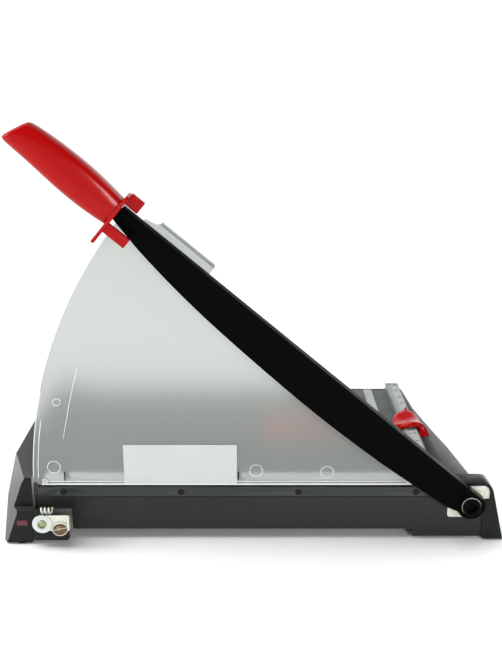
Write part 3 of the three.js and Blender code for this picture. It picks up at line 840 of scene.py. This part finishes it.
def numerals(name, x, near, far, z, pitch, size):
    """Plain centimetre numbers beside every mark at the given pitch."""
    count = int((far - near) / pitch) + 1
    for k in range(1, count):
        curve = bpy.data.curves.new(f"{name}_{k}", "FONT")
        curve.body = str(k * int(pitch / 10))
        curve.size = size * MM
        curve.extrude = 0.02 * MM
        curve.resolution_u = 3
        curve.align_x = "LEFT"
        curve.materials.append(INK)
        label = bpy.data.objects.new(f"{name}_{k}", curve)
        label.rotation_euler = (0, 0, math.radians(90))
        label.location = (x * MM, CUT_Y + (near + k * pitch + NUMBER_GAP) * MM, (z + NUMBER_LIFT) * MM)
        bpy.context.scene.collection.objects.link(label)
        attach(label, "base")


DECK_BARS = [(10, 94, 112, 128), (10, 82, 132, 148), (10, 94, 152, 168)]  # from X, to X, from Y, to Y


def scales():
    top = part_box("fence_scale")[1].z / MM + INK_LIFT
    ticks("fence_marks", 154.2, 164.4, 42, 236, top, 2.0)
    numerals("fence_number", 163.6, 42, 236, top, 20, 6.0)
    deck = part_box("deck_scale")[1].z / MM + INK_LIFT
    ticks("deck_marks", 127.0, 135.6, 34, 248, deck, 4.0)
    low, high = DECK_TOP + 0.02, DECK_TOP + 0.08
    stamp = join_boxes("deck_stamp", [((x0, y0, low), (x1, y1, high)) for x0, x1, y0, y1 in DECK_BARS])
    finish_piece(stamp, "base", "red", material=RED_PRINT)


scales()


# ------------------------------------------------------------------ guard
# Milky white plastic for the moulded rings and the clamp foot. It also colours the white lines painted on the guard
# as edge highlights.
def milky_and_highlight():
    material = principled("milky_plastic_and_painted_highlight", (0.93, 0.95, 0.95), 0.25, Transmission_Weight=0.1, IOR=1.45)
    add_bump(material, noise(material, 900, 2.0), 0.1)
    return material


MILKY_AND_HIGHLIGHT = milky_and_highlight()
RING_WIDTH = 0.45


def raised_ring(name, x, z, radius):
    """A thin round rib moulded on the near face of the guard."""
    outer = arc((x, z), radius, 0, 355, 47)
    inner = arc((x, z), radius - RING_WIDTH, 0, 355, 47)
    points, faces = [], []
    for y in (2.99, 2.85):
        points += [(px, y, pz) for px, pz in outer] + [(px, y, pz) for px, pz in inner]
    n = len(outer)
    for i in range(n):
        j = (i + 1) % n
        faces += [
            (2 * n + i, 2 * n + j, 3 * n + j, 3 * n + i),
            (i, j, 2 * n + j, 2 * n + i),
            (n + j, n + i, 3 * n + i, 3 * n + j),
            (j, i, n + i, n + j),
        ]
    finish_piece(mesh_of(name, points, faces), "guard", "clear", material=MILKY_AND_HIGHLIGHT)


def inset(outline, by):
    """An outline moved inwards, for a chamfer."""
    count = len(outline)
    area = 0
    for (x0, z0), (x1, z1) in zip(outline, outline[1:] + outline[:1]):
        area += x0 * z1 - x1 * z0
    side = 1 if area > 0 else -1
    moved = []
    for k in range(count):
        p, q, r = (Vector(outline[(k + d) % count]) for d in (-1, 0, 1))
        one, two = (q - p).normalized(), (r - q).normalized()
        normal = Vector((-(one.y + two.y), one.x + two.x)).normalized() * side
        moved.append(tuple(q + normal * by))
    return moved


def plate(name, outline, near, far, chamfer):
    """A flat sheet with its edges chamfered and its faces left exactly flat."""
    small = inset(outline, chamfer)
    rings = [(small, near), (outline, near + chamfer), (outline, far - chamfer), (small, far)]
    return loft(name, [[(x, y, z) for x, z in ring] for ring, y in rings])


def beside_arm(along, above):
    """X and height of a point this far along the raised arm from the pivot and this far above its middle line."""
    a = math.radians(ARM_ANGLE)
    x = PIVOT.x / MM - along * math.cos(a) + above * math.sin(a)
    return (x, PIVOT.z / MM + along * math.sin(a) + above * math.cos(a))


GUARD_CENTRE = (199.3, 47.5)  # of the round edge
GUARD_FOOT = [(-193.5, 53), (150, 53)]
# Along the arm and above its middle line: the edge behind the arm, and the lip that stands over it.
GUARD_UPPER_EDGE = [(40, 2), (310.5, 2), (310.5, 17.8), (311.4, 18.3)]
GUARD_UPPER_EDGE += [(367.5, 18.3), (371, 14.2), (381, 12.2), (383, 2)]
GUARD_LIP = [(311, 15.9), (311, 18.3), (368, 18.3), (368, 15.9)]
# White lines painted along the round edge as its edge highlights: radius, where they start and end in degrees, and
# their thickness.
GUARD_EDGE_HIGHLIGHTS = [(398.4, 178.4, 166.0, 0.32), (394.0, 178.4, 170.0, 0.28)]
GUARD_CREASE = [(-170.2, 98), (-166.2, 116), (-161.8, 136), (-158.2, 150), (-154.1, 165)]
GUARD_NEAR = 2.95  # Y of the lines, just in front of the sheet's near face


def guard_sheet():
    top = beside_arm(400.5, 2)
    high = math.degrees(math.atan2(top[1] - GUARD_CENTRE[1], top[0] - GUARD_CENTRE[0]))
    outline = GUARD_FOOT + [beside_arm(along, above) for along, above in GUARD_UPPER_EDGE]
    outline += arc(GUARD_CENTRE, 399, high, 178.6, 60)
    sheet = plate("guard_sheet", outline, 3.0, 6.0, 0.5)
    finish_piece(sheet, "guard", "clear", "guard_plate")
    sheet.data.shade_flat()
    fold = prism("guard_lip", [beside_arm(along, above) for along, above in GUARD_LIP], 6.05, 11)
    soften(fold, 0.4, 2)
    finish_piece(fold, "guard", "clear", "guard_plate")
    # Thin milky tubes along the round edge, painted highlights of the guard's rounded edge.
    for k, (radius, start, end, thick) in enumerate(GUARD_EDGE_HIGHLIGHTS):
        path = [(x, GUARD_NEAR, z) for x, z in arc(GUARD_CENTRE, radius, start, end, 24)]
        line = tube(f"guard_edge_highlight_{k + 1}", path, thick, 8)
        finish_piece(line, "guard", "clear", material=MILKY_AND_HIGHLIGHT)
    curl = tube("guard_crease", [(x, GUARD_NEAR, z) for x, z in GUARD_CREASE], 0.22, 8)
    finish_piece(curl, "guard", "clear", material=MILKY_AND_HIGHLIGHT)
    for k, x in enumerate((-170.8, -14.0)):
        slot = block(f"guard_rib_{k + 1}", (x - 0.55, 2.8, 57.4), (x + 0.55, 3.0, 66.0))
        finish_piece(slot, "guard", "casing")


RINGS = [(-180, 70.5, 6), (2, 67, 6), (66, 65.5, 6), (-174, 133, 3.6)]  # X, height and radius


def guard_details():
    for k, (x, z, radius) in enumerate(RINGS):
        raised_ring(f"guard_mark_{k + 1}", x, z, radius)
    # A white strip painted along the guard's lower edge as the highlight on its rounded edge.
    foot_highlight = block("guard_foot_highlight", (-192, 2.45, 53.1), (150, 3.0, 54.6))
    soften(foot_highlight, 0.25, 3)
    finish_piece(foot_highlight, "guard", "clear", material=MILKY_AND_HIGHLIGHT)
    shelf = block("guard_shelf", (-190, 2.7, 56.0), (150, 3.0, 56.6))
    soften(shelf, 0.1, 2)
    finish_piece(shelf, "guard", "clear", material=MILKY_AND_HIGHLIGHT)


guard_sheet()
guard_details()


# ------------------------------------------------------------------ carried-over CAD nodes
PLAIN_EDGE = 0.3
EDGES = {
    "rear_end_cap": 1.4,
    "cutting_side_panel": 0.5,
    "arm_bar": 0.7,
    "fence_scale": 0,
    "deck_scale": 0,
    "guard_label": 0,
    "latch_spring": 0,
}
OWN_FINISH = {"deck_scale": STRIPE, "fence_scale": STRIPE, "clamp_foot": MILKY_AND_HIGHLIGHT}
for row in frame["record"]["subparts"]:
    node = row["node"]
    piece = dress(node, row["material_slot"], EDGES.get(node, PLAIN_EDGE))
    if node in OWN_FINISH:
        piece.data.materials[0] = OWN_FINISH[node]


# ------------------------------------------------------------------ floor, light and camera
FLOOR_RINGS = [(0.01, 0), (2.2, 0), (3.5, 0.12), (5.5, 0.5), (9.0, 1.6), (12.0, 3.8)]  # radius and height, metres
FLOOR_SIDES = 48


def floor():
    """A pale floor that stays level round the object and rises gently far away, like a studio sweep."""
    sides = FLOOR_SIDES
    points = []
    for radius, height in FLOOR_RINGS:
        for i in range(sides):
            angle = 2 * math.pi * i / sides
            points.append((radius * math.cos(angle), radius * math.sin(angle), height))
    faces = [tuple(range(sides))]
    for r in range(len(FLOOR_RINGS) - 1):
        for i in range(sides):
            j = (i + 1) % sides
            faces.append((r * sides + i, r * sides + j, (r + 1) * sides + j, (r + 1) * sides + i))
    mesh = bpy.data.meshes.new("floor")
    mesh.from_pydata(points, [], faces)
    mesh.shade_smooth()
    piece = bpy.data.objects.new("floor", mesh)
    bpy.context.scene.collection.objects.link(piece)
    mesh.materials.append(principled("pale_floor", (0.95, 0.95, 0.95), 0.9, Specular_IOR_Level=0.0))


def lamp(name, kind, place, target, power, **settings):
    light = bpy.data.lights.new(name, kind)
    light.energy = power
    for key, value in settings.items():
        setattr(light, key, value)
    piece = bpy.data.objects.new(name, light)
    piece.location = place
    piece.rotation_euler = (Vector(target) - Vector(place)).to_track_quat("-Z", "Y").to_euler()
    bpy.context.scene.collection.objects.link(piece)


def lights():
    world = bpy.data.worlds.new("studio")
    world.use_nodes = True
    sky = world.node_tree.nodes["Background"]
    sky.inputs["Color"].default_value = (1, 1, 1, 1)
    sky.inputs["Strength"].default_value = 0.24
    bpy.context.scene.world = world
    lamp("overhead", "SUN", (-0.7, 0.35, 2), (0, 0, 0), 2.85, angle=math.radians(70))
    card = {"shape": "RECTANGLE", "size": 0.3, "size_y": 0.55}
    lamp("front", "AREA", (0.58, -1.84, 0.66), (-0.16, -0.13, 0.34), 15, **card)
    card = {"shape": "RECTANGLE", "size": 0.7, "size_y": 0.7}
    lamp("side", "AREA", (-1.7, -0.25, 0.9), (0, 0, 0.15), 17, **card)


def camera():
    """The photograph's view: square on to the cutting line from 0.78 m, looking down by the stated angle."""
    looking_down = 17.1
    lens = bpy.data.cameras.new("camera")
    lens.lens = 51.12
    lens.clip_end = 50
    eye = bpy.data.objects.new("camera", lens)
    eye.location = (-0.0026, CUT_Y - 0.779, 0.436)
    eye.rotation_euler = (math.radians(90 - looking_down), 0, 0)
    bpy.context.scene.collection.objects.link(eye)
    bpy.context.scene.camera = eye


floor()
lights()
camera()
bpy.context.scene.view_settings.view_transform = "Standard"
